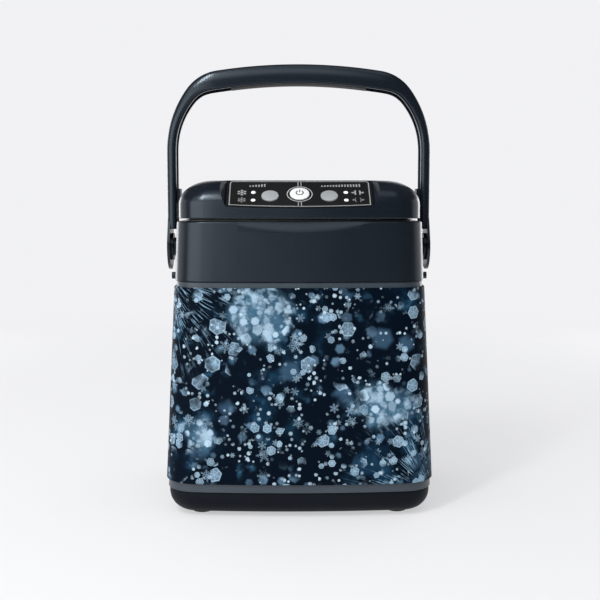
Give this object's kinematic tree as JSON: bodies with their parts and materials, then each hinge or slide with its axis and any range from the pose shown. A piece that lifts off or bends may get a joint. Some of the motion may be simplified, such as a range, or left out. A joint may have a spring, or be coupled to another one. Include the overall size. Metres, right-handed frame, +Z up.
{
  "type": "hot cold therapy machine",
  "caption": "Portable hot and cold therapy unit: insulated tapered reservoir, lift-off lid with pump and sloping control panel, bail handle on side pivots, hose socket behind.",
  "frame": {"origin": "on the floor, under the middle of the tank", "axes": "+Z up, the control panel faces -Y, +X to the right of someone facing the panel"},
  "size_m": [0.2422, 0.2, 0.3964],
  "materials": {
    "navy_gloss": "dark navy gloss moulding",
    "grey_satin": "satin grey moulding",
    "wrap_print": "printed film with a frost pattern",
    "panel_black": "matte black overlay with printed marks",
    "button_white": "white moulding",
    "button_grey": "pale blue grey moulding",
    "lamp_clear": "milky light guide",
    "seal_rubber": "soft black rubber",
    "liner_white": "off-white food-safe plastic",
    "foam_cream": "moulded insulation foam",
    "board_green": "green circuit board",
    "steel": "plated steel",
    "inner_black": "black engineering plastic",
    "hose_clear": "milky flexible tube"
  },
  "bodies": {
    "tank": {"base_shell": "navy_gloss", "foot_front_left": "seal_rubber", "foot_front_right": "seal_rubber", "foot_rear_left": "seal_rubber", "foot_rear_right": "seal_rubber", "mid_shell": "grey_satin", "printed_wrap": "wrap_print", "upper_collar": "navy_gloss", "pivot_pin_left": "navy_gloss", "pivot_pin_right": "navy_gloss", "reservoir_liner": "liner_white", "insulation_foam": "foam_cream"},
    "lid": {"lid_shell": "navy_gloss", "lid_tub": "liner_white", "lid_seal": "seal_rubber", "tub_screw_front_left": "steel", "tub_screw_front_right": "steel", "tub_screw_rear_left": "steel", "tub_screw_rear_right": "steel", "panel_overlay": "panel_black", "circuit_board": "board_green", "power_switch": "inner_black", "cold_switch": "inner_black", "compression_switch": "inner_black", "lamp_cold_high": "lamp_clear", "lamp_cold_low": "lamp_clear", "lamp_compression_high": "lamp_clear", "lamp_compression_low": "lamp_clear", "hose_socket": "inner_black", "power_inlet": "inner_black", "pump_housing": "inner_black", "pump_motor": "steel", "intake_tube": "hose_clear", "intake_filter": "inner_black", "return_spout": "inner_black", "air_compressor": "inner_black", "compressor_motor": "steel", "valve_block": "button_white", "air_link": "hose_clear", "water_feed_hose": "hose_clear", "water_return_hose": "hose_clear", "air_hose": "hose_clear"},
    "handle": {"handle_bail": "navy_gloss", "grip_insert": "seal_rubber"},
    "power_key": {"power_button": "button_white"},
    "cold_key": {"cold_button": "button_grey"},
    "compression_key": {"compression_button": "button_grey"},
    "latch": {"hose_latch": "button_grey"},
    "rotor": {"impeller": "button_white"}
  },
  "joints": [
    {"name": "lid_lift", "type": "slide", "parent": "tank", "child": "lid", "axis": [0, 0, 1], "range_m": [0, 0.045]},
    {"name": "handle_swing", "type": "hinge", "parent": "tank", "child": "handle", "pos_m": [0, 0, 0.2305], "axis": [1, 0, 0], "range_deg": [-95, 95]},
    {"name": "power_press", "type": "slide", "parent": "lid", "child": "power_key", "axis": [0, 0.5878, -0.809], "range_m": [0, 0.001], "stiffness_N_per_m": 1800, "springref_m": -0.0006},
    {"name": "cold_press", "type": "slide", "parent": "lid", "child": "cold_key", "axis": [0, 0.5878, -0.809], "range_m": [0, 0.001], "stiffness_N_per_m": 1800, "springref_m": -0.0006},
    {"name": "compression_press", "type": "slide", "parent": "lid", "child": "compression_key", "axis": [0, 0.5878, -0.809], "range_m": [0, 0.001], "stiffness_N_per_m": 1800, "springref_m": -0.0006},
    {"name": "latch_press", "type": "slide", "parent": "lid", "child": "latch", "axis": [0, 0, -1], "range_m": [0, 0.0015], "stiffness_N_per_m": 2000, "springref_m": -0.001},
    {"name": "impeller_spin", "type": "hinge", "parent": "lid", "child": "rotor", "pos_m": [-0.04, 0.012, 0.2205], "axis": [0, 0, 1], "continuous": true}
  ]
}
